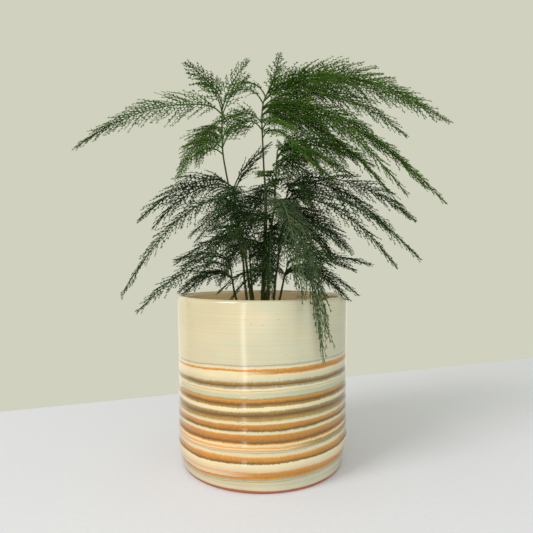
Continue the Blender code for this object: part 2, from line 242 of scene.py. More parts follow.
# More layers for some fronds: the lacy one that hangs over the rim, and those that close the clump
MORE_LAYERS = {
    ("stem_front", 0): (Layer(0, 2, 0, 0, 1.0, 0.88, 0.4), Layer(-0.02, -13, 0, 0, 1.0, 0.68, 0.5)),
    ("stem_front", 1): (Layer(-0.1, 32, 8, 0, 0.75, 1.5, 0.5),),
    ("stem_front", 3): (Layer(0.25, 16, 0, 6, 0.85, 2.2, 0.5),),
    ("stem_centre", 3): (Layer(-0.3, 10, 0, -10, 1.0, 1.6, 0.6),),
    ("stem_front", 2): (Layer(0.1, -28, -10, 4, 0.8, 2.0, 0.5),),
    ("stem_front", 4): (Layer(0.25, 38, 0, 4, 0.9, 1.8, 0.5),),
    ("stem_left_middle", 2): (Layer(-0.12, 16, 0, -4, 0.9),),
    ("stem_left_middle", 5): (Layer(0.2, -14, 0, 6, 1.0, 2.0, 0.5),),
    ("stem_right_middle", 3): (Layer(-0.1, -18, 0, 0, 0.9, 1.6, 0.5),),
    ("stem_right_tall", 3): (Layer(0.02, 5, 4, 10, 0.92),),
}

# A stem with more fronds than this is made as two pieces, to keep each under 200,000 triangles
MOST_FRONDS = 6

# A stem is its cane's route, from the soil up, and its fronds. A frond leaves the cane at a share of
# its length. Its heading and roll are in degrees and the rest is in millimetres
Frond = namedtuple("Frond", "at heading reach rise drop half_width roll")
Stem = namedtuple("Stem", "name tint route fronds")

# a stem's tint is painted light or shade: the green for how lit or shaded its tier is
STEMS = (
    Stem("stem_left_tall", "bright",
         ((-9, 3, SPROUT), (-18, 4, 192), (-26, 5, 218), (-35, 5, 267), (-37, 4, 300), (-36, 2, 322)),
         (Frond(0.96, 184, 128, 24, 62, 36, 18),
          Frond(1.00, 243, 54, 22, 12, 20, 12),
          Frond(0.88, 130, 76, 10, 40, 28, 10),
          Frond(0.98, 304, 42, 30, 8, 14, -10),
          Frond(0.80, 205, 36, 6, 14, 15, 14),
          Frond(0.84, 299, 48, 16, 10, 18, -14))),
    Stem("stem_right_tall", "bright",
         ((-1, 6, SPROUT), (2, 6, 200), (2, 4, 250), (-1, 2, 300), (2, 0, 322), (14, -3, 334)),
         (Frond(1.00, 5, 158, 30, 60, 46, -18),
          Frond(0.93, 325, 108, 22, 38, 32, -12),
          Frond(0.90, 42, 120, 8, 48, 34, -8),
          Frond(0.87, 349, 155, 8, 96, 36, -18),
          Frond(0.97, 278, 38, 16, 4, 13, 0),
          Frond(0.84, 206, 58, 10, 36, 22, 14),
          Frond(0.80, 297, 58, 6, 26, 22, 0),
          Frond(0.95, 178, 34, 24, 18, 14, 0))),
    Stem("stem_centre", "olive",
         ((5, 1, SPROUT), (7, 0, 190), (12, -1, 245), (14, -2, 280)),
         (Frond(1.00, 9, 88, 10, 26, 32, -18),
          Frond(0.95, 305, 76, 6, 34, 26, -12),
          Frond(0.92, 62, 82, 10, 34, 26, -6),
          Frond(0.76, 256, 50, 24, 26, 22, 0))),
    Stem("stem_left_middle", "deep",
         ((-13, -4, SPROUT), (-17, -7, 170), (-22, -10, 215), (-27, -12, 245)),
         (Frond(1.00, 184, 78, 14, 48, 34, 20),
          Frond(0.86, 205, 94, 10, 90, 20, -30),
          Frond(0.93, 262, 62, 8, 46, 24, 0),
          Frond(0.98, 345, 34, 40, 8, 15, 0),
          Frond(0.66, 250, 56, 6, 40, 24, -10),
          Frond(0.56, 300, 44, 4, 20, 17, 0))),
    Stem("stem_right_middle", "deep",
         ((9, -1, SPROUT), (14, -3, 175), (20, -5, 220), (24, -6, 247)),
         (Frond(1.00, 3, 112, 24, 59, 34, -20),
          Frond(0.90, 338, 110, 8, 66, 28, 30),
          Frond(0.80, 42, 95, 5, 45, 28, -10),
          Frond(0.95, 284, 58, 6, 30, 23, 0),
          Frond(0.72, 326, 54, 2, 30, 22, 16))),
    Stem("stem_left_low", "deep",
         ((-21, -1, SPROUT), (-27, -3, 158), (-31, -4, 182)),
         (Frond(1.00, 178, 46, 3, 9, 17, -26),
          Frond(0.84, 203, 78, 6, 46, 23, -30),
          Frond(0.70, 140, 70, 5, 26, 22, 10))),
    Stem("stem_right_low", "deep",
         ((12, -7, SPROUT), (18, -10, 155), (24, -12, 180)),
         (Frond(1.00, 355, 68, 6, 14, 21, 30),
          Frond(0.84, 328, 62, 3, 26, 20, 22),
          Frond(0.78, 35, 70, 5, 32, 20, -10))),
    Stem("stem_front", "pale",
         ((3, -10, SPROUT), (5, -15, 165), (8, -20, 205), (10, -24, 222)),
         (Frond(1.00, 298, 72, 35, 150, 22, 0),
          Frond(0.90, 235, 60, 15, 45, 22, -20),
          Frond(0.70, 320, 60, 5, 25, 20, 22),
          Frond(0.45, 255, 46, 6, 20, 18, 0),
          Frond(0.40, 208, 44, 8, 24, 17, 0))),
    Stem("stem_back", "deep",
         ((1, 13, SPROUT), (3, 18, 180), (4, 22, 220), (4, 24, 248)),
         (Frond(1.00, 95, 86, 12, 40, 30, 0),
          Frond(0.90, 152, 90, 8, 42, 28, 12),
          Frond(0.82, 25, 90, 5, 42, 26, -12),
          Frond(0.76, 168, 56, 8, 22, 16, 0),
          Frond(0.68, 352, 60, 6, 34, 20, 0))),
    Stem("stem_back_low", "deep",
         ((-8, 12, SPROUT), (-11, 19, 165), (-13, 24, 200)),
         (Frond(1.00, 165, 76, 5, 32, 24, 12),
          Frond(0.90, 112, 80, 5, 42, 24, 0),
          Frond(0.78, 60, 76, 5, 36, 22, -10))),
)

# Where the photo was taken from, in metres, its lens and width in pixels, and where the floor ends
CAMERA_PLACE = (0.0036, -0.405, 0.170)
FOCAL_PIXELS = 450
PHOTO_WIDTH = 533
SENSOR_WIDTH = 36
FLOOR_SIZE = 4
FLOOR_END = (0, 0.2393, 0)
FLOOR_END_NORMAL = (-0.3588, 0.9334, 0)

# The lamps, in metres and watts. A power given as a word is one of the stage's settings. A glint
# lights nothing and shows only as a reflection in the glaze
Lamp = namedtuple("Lamp", "name place aim size power tint lights reflects")
LAMPS = (
    Lamp("key_softbox", (-4.2, -3.1, 4.2), (0, 0, 0.16), (2.4, 2.4), "key_power",
         (1, 0.98, 0.95), True, True),
    Lamp("window_softbox", (0.05, -1.3, 0.45), (0, 0, 0.12), (0.3, 0.9), "window_power",
         (1, 1, 1), True, False),
    Lamp("window_glint", (-0.094, -0.262, 0.16), (-0.013, -0.074, 0.16), (0.022, 0.36), 0.08,
         (1, 1, 1), False, True),
    Lamp("left_wall_glint", (-0.30, 0.24, 0.1), (-0.066, -0.03, 0.1), (0.3, 0.5), 0.2,
         (1, 0.88, 0.8), False, True),
    Lamp("right_wall_glint", (0.19, 0.32, 0.1), (0.072, -0.02, 0.1), (0.1, 0.5), 0.06,
         (1, 0.95, 0.88), False, True),
)


def linear(hex_colour):
    """A linear colour from an sRGB hex value."""
    values = [int(hex_colour[i:i + 2], 16) / 255 for i in (1, 3, 5)]
    return tuple(v / 12.92 if v <= 0.04045 else ((v + 0.055) / 1.055) ** 2.4 for v in values)


def colour(name, description, hex_colour):
    """A colour that a user can change."""
    return bpy.props.FloatVectorProperty(
        name=name, description=description, subtype="COLOR", size=3, min=0, max=1,
        default=linear(hex_colour))


def distance(name, description, millimetres):
    """A length that a user can change."""
    return bpy.props.FloatProperty(
        name=name, description=description, unit="LENGTH", precision=5, min=0,
        default=millimetres * MM)


class PotSettings(bpy.types.PropertyGroup):
    ridge_height: bpy.props.FloatProperty(
        name="Ridge height", description="How far the turned ridges stand out, as a share of the real ones",
        default=1.0, min=0, max=2, subtype="FACTOR")
    waviness: distance("Band waviness", "How far the painted bands stray up and down", 0.6)
    throwing_lines: distance("Throwing lines", "Depth of the potter's finger lines under the glaze", 0.03)
    cream: colour("Cream glaze", "The plain glaze of the upper wall", "#BAB49B")
    orange: colour("Orange glaze", "Iron bands where they are thin", "#C2832B")
    rust: colour("Rust glaze", "The middle of the iron bands", "#A06D25")
    olive: colour("Olive glaze", "Iron bands where they run into the cream", "#96793F")
    dark: colour("Dark iron glaze", "The thickest iron bands", "#5C3F16")
    crest: colour("Pale crest", "Glaze that ran thin over a ridge", "#CDC3A3")
    pink: colour("Pink cream", "Thin cream over the clay near the foot", "#CBB394")
    celadon: colour("Celadon edge", "Green-grey glaze at the band edges", "#AEAE95")
    inside: colour("Inner glaze", "The warm tan glaze inside", "#F0D4A3")
    slate: colour("Slate line", "Blue-grey lines where the iron meets the cream", "#868C82")
    clay: colour("Bare clay", "The unglazed foot", "#9C5636")


class FernSettings(bpy.types.PropertyGroup):
    # real needles are as fine as hair, too fine to show, so they are drawn broader and fewer
    branch_spacing: distance("Branch spacing", "Distance between side branches on a rib", 3.7)
    sprig_spacing: distance("Sprig spacing", "Distance between sprigs on a side branch", 2.3)
    needle_length: distance("Needle length", "Length of one needle", 3.3)
    needle_width: distance("Needle width", "Width of one needle at its foot", 0.8)
    # Painted light and shade: the needle greens are lit and shaded copies of one green, lightest for the top
    # fronds in full light, in between for the middle tier, darkest for the shaded lower tiers, and a paler
    # grey-green for the frond that hangs in front in the light
    bright: colour("Bright green", "Fronds at the top, in full light", "#4E7429")
    olive: colour("Olive green", "Fronds of the middle tier", "#426626")
    deep: colour("Deep green", "Fronds of the lower tiers", "#2A4A27")
    pale: colour("Grey green", "The frond that hangs in front", "#5C7450")
    wood: colour("Stem", "Bark of the wiry stems", "#3C3E20")
    withered: colour("Withered tip", "Old brown branch tips", "#7C6240")


class StageSettings(bpy.types.PropertyGroup):
    floor: colour("Floor", "Plain floor under the pot", "#D8D9E4")
    backdrop: colour("Backdrop", "Plain backdrop", "#D0D1BE")
    key_power: bpy.props.FloatProperty(
        name="Key light", description="Power of the soft light at the left",
        default=225, min=0, unit="POWER")
    window_power: bpy.props.FloatProperty(
        name="Window light", description="Power of the tall soft light in front",
        default=10, min=0, unit="POWER")


def deselect():
    """Leave nothing selected."""
    if bpy.context.mode != "OBJECT":
        bpy.ops.object.mode_set(mode="OBJECT")
    bpy.ops.object.select_all(action="DESELECT")


def edit(thing):
    """Enter edit mode on one object, with all of it selected."""
    deselect()
    thing.select_set(True)
    bpy.context.view_layer.objects.active = thing
    bpy.ops.object.mode_set(mode="EDIT")
    bpy.ops.mesh.select_all(action="SELECT")


def add_node(tree, kind, inputs=(), output=0, **settings):
    """Add a node with its settings and links. Its inputs are values or the sockets that feed them,
    by name or in their order. Returns one of its outputs, whose .node is the node itself."""
    node = tree.nodes.new("ShaderNode" + kind)
    for name, value in settings.items():
        setattr(node, name, value)
    for key, value in inputs.items() if isinstance(inputs, dict) else enumerate(inputs):
        if isinstance(value, bpy.types.NodeSocket):
            tree.links.new(value, node.inputs[key])
        else:
            node.inputs[key].default_value = value
    return node.outputs[output]


def waves(size):
    """A pattern's scale, in waves a metre, from the size of one wave in millimetres."""
    return 1 / (size * MM)


def new_material(name):
    """A material with a Principled shader, and the tree that holds it."""
    made = bpy.data.materials.new(name)
    made.use_nodes = True
    return made, made.node_tree, made.node_tree.nodes["Principled BSDF"]


def turn_profile(name, points, steps):
    """Draw a profile of (radius, height) points in millimetres by extruding a point, and spin it about Z."""
    deselect()
    radius, height = points[0]
    bpy.ops.mesh.primitive_plane_add(size=MM, location=(radius * MM, 0, height * MM))
    thing = bpy.context.object
    thing.name = name
    edit(thing)
    bpy.ops.mesh.merge(type="CENTER")
    for (r0, z0), (r1, z1) in zip(points, points[1:]):
        bpy.ops.mesh.extrude_region_move(
            TRANSFORM_OT_translate={"value": ((r1 - r0) * MM, 0, (z1 - z0) * MM)})
    bpy.ops.mesh.select_all(action="SELECT")
    bpy.ops.mesh.spin(steps=steps, angle=math.tau, center=(0, 0, 0), axis=(0, 0, 1))
    bpy.ops.mesh.select_all(action="SELECT")
    bpy.ops.mesh.remove_doubles(threshold=0.02 * MM)
    bpy.ops.mesh.normals_make_consistent(inside=False)
    deselect()
    thing.select_set(True)
    bpy.context.view_layer.objects.active = thing
    bpy.ops.object.transform_apply(location=True, rotation=True, scale=True)
    bpy.ops.object.shade_smooth()
    return thing


def wall_radius(height, ridge_height):
    """The outer wall's radius at a height, with its turned ridges, in millimetres."""
    heights = [z for z, _ in reversed(OUTER_WALL)]
    radii = [r for _, r in reversed(OUTER_WALL)]
    radius = float(np.interp(height, heights, radii))
    for crest, spread, rise in RIDGES:
        away = abs(height - crest) / spread
        radius += ridge_height * rise * max(0, math.cos(min(1, away) * math.pi / 2)) ** 1.5
        radius -= ridge_height * rise * GROOVE_SHARE * math.exp(-(away - 1.25) ** 2 * 9)
    return radius


def glaze_material(pot):
    """Wheel-thrown stoneware under a glossy cream glaze, with iron bands brushed on while it turned:
    the eye sees rust and olive rings that pool dark in the grooves and break pale over the crests."""
    made, tree, shader = new_material("glazed_stoneware_thrown")
    add = partial(add_node, tree)
    place = add("TexCoord", output="Object")
    axes = add("SeparateXYZ", {"Vector": place}).node.outputs
    across = axes["X"]
    noise = {}
    for name, (width, rise, detail) in GLAZE_NOISE.items():
        scale = (waves(width), waves(width), waves(rise))
        stretched = add("Mapping", {"Vector": place, "Scale": scale})
        noise[name] = add("TexNoise", {"Vector": stretched, "Scale": 1.0, "Detail": detail})

    # each band's height follows the sloping ridges and strays a little
    drift = add("MapRange", (noise["drift"], 0.25, 0.75, -pot.waviness, pot.waviness))
    wobble = add("MapRange", (noise["wobble"], 0.25, 0.75, -0.5 * pot.waviness, 0.5 * pot.waviness))
    drips = add("MapRange", (noise["drips"], 0.3, 0.7, -0.45 * pot.waviness, 0.45 * pot.waviness))
    slope = add("Math", (across, -RIDGE_SLOPE), operation="MULTIPLY")
    height = axes["Z"]
    for shift in (slope, drift, wobble, drips):
        height = add("Math", (height, shift), operation="ADD")

    ramps = []
    for stops in (UPPER_BANDS, LOWER_BANDS):
        top, bottom = stops[0][0], stops[-1][0]
        ramp = add("ValToRGB", (add("MapRange", (height, top * MM, bottom * MM, 0.0, 1.0)),))
        elements = ramp.node.color_ramp.elements
        for element, (_, tint) in zip(elements, (stops[0], stops[-1])):
            element.color = (*getattr(pot, tint), 1)
        for level, tint in stops[1:-1]:
            elements.new((top - level) / (top - bottom)).color = (*getattr(pot, tint), 1)
        ramps.append(ramp)
    is_upper = add("Math", (height, LOWER_BANDS[0][0] * MM), operation="GREATER_THAN")
    coat = add("Mix", {"Factor": is_upper, "A": ramps[1], "B": ramps[0]}, "Result", data_type="RGBA")

    for all_at, none_at, bottom, top, tint in UNEVEN_BANDS:
        side = add("MapRange", (across, all_at * MM, none_at * MM, 1.0, 0.0))
        below = add("MapRange", (height, top * MM, (top - UNEVEN_EDGE) * MM, 0.0, 1.0))
        over = add("MapRange", (height, bottom * MM, (bottom + UNEVEN_EDGE) * MM, 0.0, 1.0))
        band = add("Math", (below, over), operation="MULTIPLY")
        share = add("Math", (side, band), operation="MULTIPLY")
        fresh = (*getattr(pot, tint), 1)
        coat = add("Mix", {"Factor": share, "A": coat, "B": fresh}, "Result", data_type="RGBA")
    side = add("MapRange", (across, -TINTED_TO * MM, TINTED_TO * MM, -0.25, 0.35))
    region = add("Math", (side, noise["regions"]), operation="ADD")
    share = add("MapRange", (region, 0.35, 0.85, 0.0, 1.0))
    tint = add("Mix", {"Factor": share, "A": RUSTY, "B": GREENISH}, "Result", data_type="RGBA")
    coat = add("VectorMath", (coat, tint), operation="MULTIPLY")

    # fine lines drawn out by the wheel, soft clouds, and mottle in the dark iron only
    clouds = add("TexNoise", {"Vector": place, "Scale": waves(CLOUD_SIZE), "Detail": 3.0})
    mottle = add("TexNoise", {"Vector": place, "Scale": waves(MOTTLE_SIZE), "Detail": 2.0})
    streaks = add("MapRange", (noise["lines"], 0.3, 0.7, 0.955, 1.035))
    cloudy = add("MapRange", (clouds, 0.3, 0.7, 0.94, 1.05))
    plain = add("Math", (streaks, cloudy), operation="MULTIPLY")
    iron = add("MapRange", (add("RGBToBW", (coat,)), 0.2, 0.42, 1.0, 0.0))
    mottled = add("MapRange", (mottle, 0.3, 0.7, -0.16, 0.16))
    grain = add("Math", (mottled, iron), operation="MULTIPLY")
    tone = add("Math", (plain, grain), operation="ADD")
    coat = add("VectorMath", {0: coat, "Scale": tone}, operation="SCALE")

    # a few specks, bare clay at the foot and warm tan glaze inside, each laid over the last
    cells = add("TexVoronoi", {"Vector": place, "Scale": waves(SPECK_SPACING), "Randomness": 1.0})
    rare = add("TexNoise", {"Vector": place, "Scale": waves(SPECK_PATCHES), "Detail": 0.0})
    dot = add("MapRange", (cells, 0.05, 0.11, 1.0, 0.0))
    here = add("MapRange", (rare, 0.66, 0.7, 0.0, 0.7))
    specks = add("Math", (dot, here), operation="MULTIPLY")
    foot_edge = add("Math", (axes["Z"], drift), operation="ADD")
    foot = add("MapRange", (foot_edge, CLAY_BELOW * MM, GLAZED_ABOVE * MM, 1.0, 0.0))
    flat_place = add("CombineXYZ", {"X": across, "Y": axes["Y"]})
    from_axis = add("VectorMath", (flat_place,), "Value", operation="LENGTH")
    inner = add("MapRange", (from_axis, INNER_UP_TO * MM, OUTER_FROM * MM, 1.0, 0.0))
    above = add("Math", (axes["Z"], LINED_ABOVE * MM), operation="GREATER_THAN")
    lining = add("Math", (inner, above), operation="MULTIPLY")
    for share, tint in ((specks, pot.dark), (foot, pot.clay), (lining, pot.inside)):
        coat = add("Mix", {"Factor": share, "A": coat, "B": (*tint, 1)}, "Result", data_type="RGBA")
    tree.links.new(coat, shader.inputs["Base Color"])

    gloss = add("MapRange", (clouds, 0.3, 0.7, 0.14, 0.22))
    rough = add("Mix", {"Factor": foot, "A": gloss, "B": 0.85}, "Result")
    tree.links.new(rough, shader.inputs["Roughness"])
    shader.inputs["Coat Weight"].default_value = 0.4
    shader.inputs["Coat Roughness"].default_value = 0.07
    bump = add("Bump", {"Strength": 1.0, "Distance": pot.throwing_lines, "Height": noise["finger_lines"]})
    tree.links.new(bump, shader.inputs["Normal"])
    return made


def pot_profile(ridge_height):
    """The pot's profile as (radius, height), from the middle of its floor over the lip to its underside."""
    floor = FLOOR_THICKNESS
    profile = [(0, floor), (INNER_RADIUS - CORNER, floor)]
    profile.append((INNER_RADIUS - CORNER_MIDDLE, floor + CORNER_MIDDLE))
    profile += [(INNER_RADIUS, height) for height in (floor + CORNER, *INNER_HEIGHTS)]
    half = WALL / 2
    for step in range(LIP_STEPS + 1):
        angle = math.pi * step / LIP_STEPS
        profile.append((POT_RADIUS - half - half * math.cos(angle),
                        POT_HEIGHT - half + half * math.sin(angle)))
    height = LIP_BOTTOM
    for lowest, step in ((RIDGED_BELOW, PLAIN_STEP), (FOOT_TOP, RIDGED_STEP)):
        while height > lowest:
            profile.append((wall_radius(height, ridge_height), height))
            height -= step
    return profile + list(FOOT_PROFILE)


def throw_by_hand(mesh):
    """Let the ridges climb to the right and the outer wall stray from round."""
    corners = np.empty(len(mesh.vertices) * 3, np.float32)
    mesh.vertices.foreach_get("co", corners)
    corners = corners.reshape(-1, 3)
    x, y, z = corners.T / MM
    away = np.hypot(x, y)
    angle = np.arctan2(y, x)
    outer = (away > INNER_RADIUS + 1) & (z > LEVEL_BELOW)
    climb = RIDGE_SLOPE * x * np.clip(z / SLOPED_ABOVE, 0, 1) * np.clip((LEVEL_ABOVE - z) / LEVELLING, 0, 1)
    stray = sum(size * np.sin(angle * count + z / rise) for size, count, rise in STRAYS)
    swell = SWELL * np.exp(-((z - SWELL_HEIGHT) / SWELL_WIDTH) ** 2) * np.clip(np.cos(angle), 0, 1) ** 2
    grow = np.where(outer & (z < TRUE_ABOVE), 1 + (stray + swell) / np.maximum(away, 1), 1)
    corners[:, :2] *= grow[:, None]
    corners[:, 2] += np.where(outer & (z < LEVEL_ABOVE), climb, 0) * MM
    mesh.vertices.foreach_set("co", corners.ravel())
    mesh.update()


class FERN_OT_pot(bpy.types.Operator):
    """Turn the glazed pot with its round lip, ridged lower wall and bare foot"""
    bl_idname = "fern.pot"
    bl_label = "Glazed pot"

    def execute(self, context):
        settings = context.scene.fern_pot
        thing = turn_profile("pot_thrown", pot_profile(settings.ridge_height), TURN_STEPS)
        throw_by_hand(thing.data)
        thing.data.materials.clear()
        thing.data.materials.append(glaze_material(settings))
        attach(thing, "root")
        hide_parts("pot")
        return {"FINISHED"}


def soil_material():
    """Damp potting mix, poured and settled: the eye sees dark peat with paler bark bits, rough and matte."""
    made, tree, shader = new_material("potting_mix_damp")
    add = partial(add_node, tree)
    place = add("TexCoord", output="Object")
    patches = add("TexNoise", {"Vector": place, "Scale": waves(SOIL_PATCHES), "Detail": 5.0})
    ramp = add("ValToRGB", (patches,))
    stops = ((0.35, "#1B130D"), (0.68, "#4E3A28"))
    for element, (position, tint) in zip(ramp.node.color_ramp.elements, stops):
        element.color = (*linear(tint), 1)
        element.position = position
    tree.links.new(ramp, shader.inputs["Base Color"])
    shader.inputs["Roughness"].default_value = 0.92
    grit = add("TexNoise", {"Vector": place, "Scale": waves(GRIT_SIZE), "Detail": 4.0})
    bump = add("Bump", {"Strength": 0.8, "Distance": GRIT_HEIGHT * MM, "Height": grit})
    tree.links.new(bump, shader.inputs["Normal"])
    return made


def mesh_arrays(mesh):
    """A mesh's corners and triangles as arrays."""
    mesh.calc_loop_triangles()
    corners = np.empty(len(mesh.vertices) * 3, np.float64)
    mesh.vertices.foreach_get("co", corners)
    triangles = np.empty(len(mesh.loop_triangles) * 3, np.int32)
    mesh.loop_triangles.foreach_get("vertices", triangles)
    return corners.reshape(-1, 3), triangles.reshape(-1, 3)


def object_from_arrays(name, corners, triangles, growth=None):
    """An object whose mesh is made from arrays of corners and triangles."""
    mesh = bpy.data.meshes.new(name)
    mesh.vertices.add(len(corners))
    mesh.vertices.foreach_set("co", corners.astype(np.float32).ravel())
    mesh.loops.add(triangles.size)
    mesh.loops.foreach_set("vertex_index", triangles.astype(np.int32).ravel())
    mesh.polygons.add(len(triangles))
    mesh.polygons.foreach_set("loop_start", np.arange(0, triangles.size, 3, dtype=np.int32))
    mesh.update(calc_edges=True)
    if growth is not None:
        layer = mesh.attributes.new("growth", "FLOAT_COLOR", "POINT")
        packed = np.ones((len(corners), 4), np.float32)
        packed[:, :3] = growth
        layer.data.foreach_set("color", packed.ravel())
    thing = bpy.data.objects.new(name, mesh)
    bpy.context.scene.collection.objects.link(thing)
    return thing


def turned_axes(directions, rolls):
    """Three unit axes for each direction: along it, across it and out of it, turned by a roll."""
    along = directions / np.linalg.norm(directions, axis=1, keepdims=True)
    out = np.zeros_like(along)
    out[:, 2] = 1
    across = np.cross(out, along)
    across /= np.maximum(np.linalg.norm(across, axis=1, keepdims=True), 1e-9)
    out = np.cross(along, across)
    cosine, sine = np.cos(rolls)[:, None], np.sin(rolls)[:, None]
    return along, across * cosine + out * sine, out * cosine - across * sine


def soil_crown(share):
    """How far the soil is heaped up at a share of its radius, in millimetres."""
    return SOIL_CROWN * (1 - share ** 2)


def soil_bumps(x, y):
    """How far the soil's broad bumps rise or sink at a place, in millimetres."""
    return SOIL_BUMPS * (np.sin(x * math.tau / BUMP_WIDTH + 1) + np.cos(y * math.tau / BUMP_WIDTH))


def copy_shape(shape, axes, sizes, feet):
    """One shape's corners copied to many places, each with its own axes, size and foot."""
    turned = sum(shape[None, :, i, None] * axis[:, None] for i, axis in enumerate(axes))
    return turned * sizes[:, None, None] + feet[:, None]


def copy_faces(faces, corner_count, copies):
    """The triangles of a shape's copies, which follow each other in one list of corners."""
    return (faces[None] + (np.arange(copies) * corner_count)[:, None, None]).reshape(-1, 3)


def strew_crumbs(radius, dice):
    """Crumbs of bark and peat that lie on the soil, as arrays of corners and triangles."""
    deselect()
    bpy.ops.mesh.primitive_ico_sphere_add(subdivisions=1, radius=MM)
    crumb = bpy.context.object
    edit(crumb)
    bpy.ops.transform.vertex_random(offset=CRUMB_ROUGHNESS * MM, seed=3)
    deselect()
    lump, faces = mesh_arrays(crumb.data)
    bpy.data.objects.remove(crumb)
    away = radius * np.sqrt(dice.uniform(0, CRUMB_SPREAD, CRUMBS))
    angle = dice.uniform(0, math.tau, CRUMBS)
    x, y = away * np.cos(angle), away * np.sin(angle)
    z = SOIL_TOP + soil_crown(away / radius) + soil_bumps(x, y)
    sizes = dice.uniform(*CRUMB_SIZES, CRUMBS) ** 1.2
    along, across, out = turned_axes(dice.normal(size=(CRUMBS, 3)), dice.uniform(0, math.tau, CRUMBS))
    stretch = dice.uniform(*CRUMB_STRETCH, (CRUMBS, 1))
    axes = (along * stretch, across, out * CRUMB_FLATNESS)
    corners = copy_shape(lump, axes, sizes, np.stack((x, y, z), 1) * MM)
    return corners.reshape(-1, 3), copy_faces(faces, len(lump), CRUMBS)


class FERN_OT_soil(bpy.types.Operator):
    """Fill the pot with potting mix and strew its crumbs"""
    bl_idname = "fern.soil"
    bl_label = "Potting mix"

    def execute(self, context):
        radius = INNER_RADIUS - CLEARANCE
        bottom = FLOOR_THICKNESS + CLEARANCE
        rings = [ring / SOIL_RINGS for ring in range(SOIL_RINGS + 1)]
        profile = [(radius * share, SOIL_TOP + soil_crown(share)) for share in rings]
        profile += [(radius, SOIL_CORNER_TOP), (radius - SOIL_CORNER, bottom), (0, bottom)]
        base = turn_profile("soil_bed", profile, SOIL_STEPS)
        corners, triangles = mesh_arrays(base.data)
        bpy.data.objects.remove(base)
        top = corners[:, 2] > (SOIL_TOP - 1) * MM
        x, y = corners[:, 0] / MM, corners[:, 1] / MM
        bumps = soil_bumps(x, y) + FINE_BUMPS * np.sin(x / 2.1 + y / 3.3) * np.cos(y / 1.9 - x / 4.1)
        corners[:, 2] += np.where(top, bumps * MM, 0)
        crumbs, crumb_faces = strew_crumbs(radius, np.random.default_rng(7))
        thing = object_from_arrays(
            "soil_mix", np.concatenate((corners, crumbs)),
            np.concatenate((triangles, crumb_faces + len(corners))))
        thing.data.materials.append(soil_material())
        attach(thing, "root")
        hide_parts("soil")
        return {"FINISHED"}


def needle_material(name, green, fern):
    """Living needles of a lace fern, grown on thin wiry stems: the eye sees a matte green that shifts from
    sprig to sprig, with painted shade that darkens the needles in the middle of the clump, brown stems and a
    few withered brown tips."""
    made, tree, shader = new_material(name)
    add = partial(add_node, tree)
    growth = add("Attribute", output="Color", attribute_name="growth")
    shade, tip, wood = add("SeparateColor", {"Color": growth}).node.outputs
    place = add("TexCoord", output="Object")
    patches = add("TexNoise", {"Vector": place, "Scale": waves(NEEDLE_PATCHES), "Detail": 3.0})
    patchy = add("MapRange", (patches, 0.3, 0.7, -0.25, 0.25))
    shaded = add("Math", (shade, patchy), operation="ADD", use_clamp=True)
    # the ramp's dark end stands for painted shade, and the clump's middle pushes needles towards it; random
    # tone and patches also move them along the ramp
    ramp = add("ValToRGB", (shaded,))
    elements = ramp.node.color_ramp.elements
    elements[0].color = (*(value * 0.24 for value in green), 1)
    elements[1].color = (green[0] * 1.6, green[1] * 1.4, green[2] * 1.3, 1)
    elements.new(0.5).color = (*green, 1)
    coat = ramp
    for share, tint in ((tip, fern.withered), (wood, fern.wood)):
        coat = add("Mix", {"Factor": share, "A": coat, "B": (*tint, 1)}, "Result", data_type="RGBA")
    tree.links.new(coat, shader.inputs["Base Color"])
    shader.inputs["Roughness"].default_value = 0.65
    shader.inputs["Specular IOR Level"].default_value = 0.06
    return made


def model_sprig(fern, needles, twig_share, seed):
    """One sprig that lies along X: a thin twig with needles to both sides. Returns its arrays."""
    dice = random.Random(seed)
    deselect()
    length = fern.needle_length
    twig = length * twig_share
    bpy.ops.mesh.primitive_cone_add(
        vertices=3, radius1=fern.needle_width / 2, radius2=0, depth=twig,
        location=(twig / 2, 0, 0), rotation=(0, math.pi / 2, 0))
    sprig = bpy.context.object
    parts = [sprig]
    for i in range(needles):
        side = 1 if i % 2 else -1
        lean = math.radians(dice.uniform(*NEEDLE_LEAN)) * side
        lift = math.radians(dice.uniform(*NEEDLE_LIFT))
        direction = Vector((math.cos(lean) * math.cos(lift), math.sin(lean) * math.cos(lift), math.sin(lift)))
        reach = length * dice.uniform(*NEEDLE_SPREAD) * (1 - 0.3 * i / needles)
        foot = Vector((twig * (i + 0.6) / (needles + 0.8), 0, 0))
        bpy.ops.mesh.primitive_cone_add(
            vertices=3, radius1=fern.needle_width / 2, radius2=0, depth=reach,
            location=foot + direction * reach / 2, rotation=direction.to_track_quat("Z", "Y").to_euler())
        parts.append(bpy.context.object)
    deselect()
    for part in parts:
        part.select_set(True)
    bpy.context.view_layer.objects.active = sprig
    bpy.ops.object.join()
    bpy.ops.object.transform_apply(location=True, rotation=True, scale=True)
    corners, triangles = mesh_arrays(sprig.data)
    bpy.data.objects.remove(sprig)
    return corners / MM, triangles


def smooth_route(points, per_span):
    """A Catmull-Rom line through a stem's route, in millimetres."""
    ends = [2 * Vector(points[0]) - Vector(points[1])]
    ends += [Vector(point) for point in points]
    ends += [2 * Vector(points[-1]) - Vector(points[-2])]
    line = []
    for i in range(len(points) - 1):
        a, b, c, d = ends[i:i + 4]
        for step in range(per_span):
            t = step / per_span
            line.append(0.5 * (2 * b + (c - a) * t + (2 * a - 5 * b + 4 * c - d) * t * t
                               + (3 * b - a - 3 * c + d) * t ** 3))
    line.append(ends[-2])
    return line


def point_along(line, at):
    """The point at a share of a line's length."""
    lengths = [(b - a).length for a, b in zip(line, line[1:])]
    left = at * sum(lengths)
    for i, length in enumerate(lengths):
        if left <= length or i == len(lengths) - 1:
            return line[i].lerp(line[i + 1], min(1, left / length))
        left -= length
    return line[-1]


